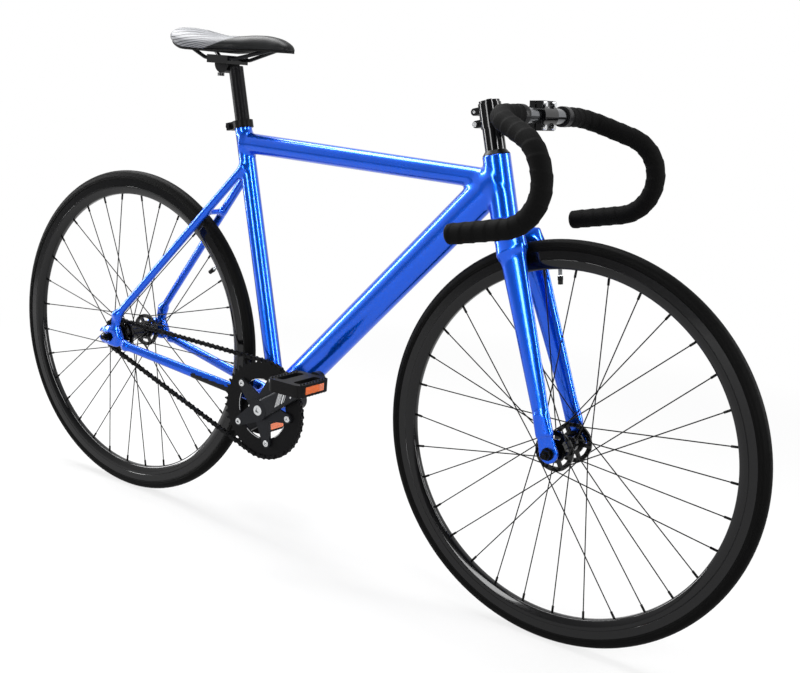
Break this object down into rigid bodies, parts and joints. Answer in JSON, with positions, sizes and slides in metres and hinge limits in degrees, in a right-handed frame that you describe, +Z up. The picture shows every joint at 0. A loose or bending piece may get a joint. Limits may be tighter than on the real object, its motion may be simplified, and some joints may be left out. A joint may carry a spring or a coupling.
{
  "type": "fixed gear bicycle",
  "caption": "Fixed gear bicycle with a blue frame and fork, drop handlebar, deep black rims, slick tyres and a chain drive whose cranks turn with the rear wheel.",
  "frame": {"origin": "on the ground midway between the two wheel axles, in the middle plane", "axes": "+X forward, +Y to the rider's left, +Z up"},
  "size_m": [1.674, 0.4404, 0.9547],
  "materials": {
    "blue_paint": "gloss",
    "black_alloy": "satin",
    "gloss_black_alloy": "gloss",
    "bearing_steel": "polished",
    "stainless_steel": "satin",
    "bright_bolts": "polished",
    "dark_steel": "satin",
    "chain_steel": "satin",
    "tyre": "matte",
    "inner_tube": "matte",
    "bar_tape": "matte",
    "saddle_cover": "satin",
    "black_plastic": "satin",
    "reflector": "gloss"
  },
  "bodies": {
    "frame_body": {"head_tube": "blue_paint", "top_tube": "blue_paint", "down_tube": "blue_paint", "seat_tube": "blue_paint", "bottom_bracket_shell": "blue_paint", "chain_stays": "blue_paint", "seat_stays": "blue_paint", "track_ends": "blue_paint", "track_end_linings": "stainless_steel", "seat_clamp": "black_alloy", "headset_outer_races": "bearing_steel", "bottom_bracket_cups": "dark_steel", "rear_axle": "dark_steel", "rear_axle_nuts": "dark_steel", "chain_outer_links": "chain_steel", "chain_inner_links": "chain_steel"},
    "seat_body": {"seatpost": "gloss_black_alloy", "saddle_clamp": "black_alloy", "saddle_rails": "dark_steel", "saddle_shell": "black_plastic", "saddle_cover": "saddle_cover"},
    "steering_body": {"steerer": "bearing_steel", "fork_crown": "blue_paint", "fork_blades": "blue_paint", "headset_inner_races": "bearing_steel", "headset_covers": "black_alloy", "headset_spacers": "gloss_black_alloy", "stem": "gloss_black_alloy", "stem_face_plate": "gloss_black_alloy", "stem_bolts": "bright_bolts", "top_cap": "black_alloy", "handlebar": "gloss_black_alloy", "bar_tape_left": "bar_tape", "bar_tape_right": "bar_tape", "bar_end_plugs": "black_plastic", "front_axle": "dark_steel", "front_axle_nuts": "dark_steel"},
    "front_wheel_body": {"front_hub": "black_alloy", "front_spokes": "dark_steel", "front_rim": "black_alloy", "front_inner_tube": "inner_tube", "front_tyre": "tyre"},
    "rear_wheel_body": {"rear_hub": "black_alloy", "rear_spokes": "dark_steel", "rear_rim": "black_alloy", "rear_inner_tube": "inner_tube", "rear_tyre": "tyre", "rear_cog": "chain_steel", "rear_lockring": "dark_steel"},
    "crank_body": {"spindle": "bearing_steel", "right_crank": "black_alloy", "left_crank": "black_alloy", "chainring": "black_alloy", "chainring_bolts": "bright_bolts", "crank_bolts": "bright_bolts", "pedal_spindles": "dark_steel"},
    "right_pedal_body": {"right_pedal": "black_plastic", "right_pedal_reflectors": "reflector"},
    "left_pedal_body": {"left_pedal": "black_plastic", "left_pedal_reflectors": "reflector"}
  },
  "joints": [
    {"name": "seat_height", "type": "slide", "parent": "frame_body", "child": "seat_body", "axis": [-0.2334, 0, 0.9724], "range_m": [-0.07, 0.08]},
    {"name": "steering", "type": "hinge", "parent": "frame_body", "child": "steering_body", "pos_m": [0.45182, 0, 0.32137], "axis": [-0.2622, 0, 0.965], "range_deg": [-80, 80]},
    {"name": "front_wheel_spin", "type": "hinge", "parent": "steering_body", "child": "front_wheel_body", "pos_m": [0.502, 0, 0.335], "axis": [0, 1, 0], "continuous": true},
    {"name": "rear_wheel_spin", "type": "hinge", "parent": "frame_body", "child": "rear_wheel_body", "pos_m": [-0.502, 0, 0.335], "axis": [0, 1, 0], "continuous": true, "deforming": ["chain_outer_links", "chain_inner_links"]},
    {"name": "crank_spin", "type": "hinge", "parent": "frame_body", "child": "crank_body", "pos_m": [-0.0993, 0, 0.268], "axis": [0, 1, 0], "continuous": true},
    {"name": "right_pedal_spin", "type": "hinge", "parent": "crank_body", "child": "right_pedal_body", "pos_m": [0.04328, -0.12, 0.36059], "axis": [0, 1, 0], "continuous": true},
    {"name": "left_pedal_spin", "type": "hinge", "parent": "crank_body", "child": "left_pedal_body", "pos_m": [-0.24187, 0.12, 0.17541], "axis": [0, 1, 0], "continuous": true}
  ],
  "couplings": [
    {"joint": "crank_spin", "follows": "rear_wheel_spin", "ratio": 0.34783}
  ]
}
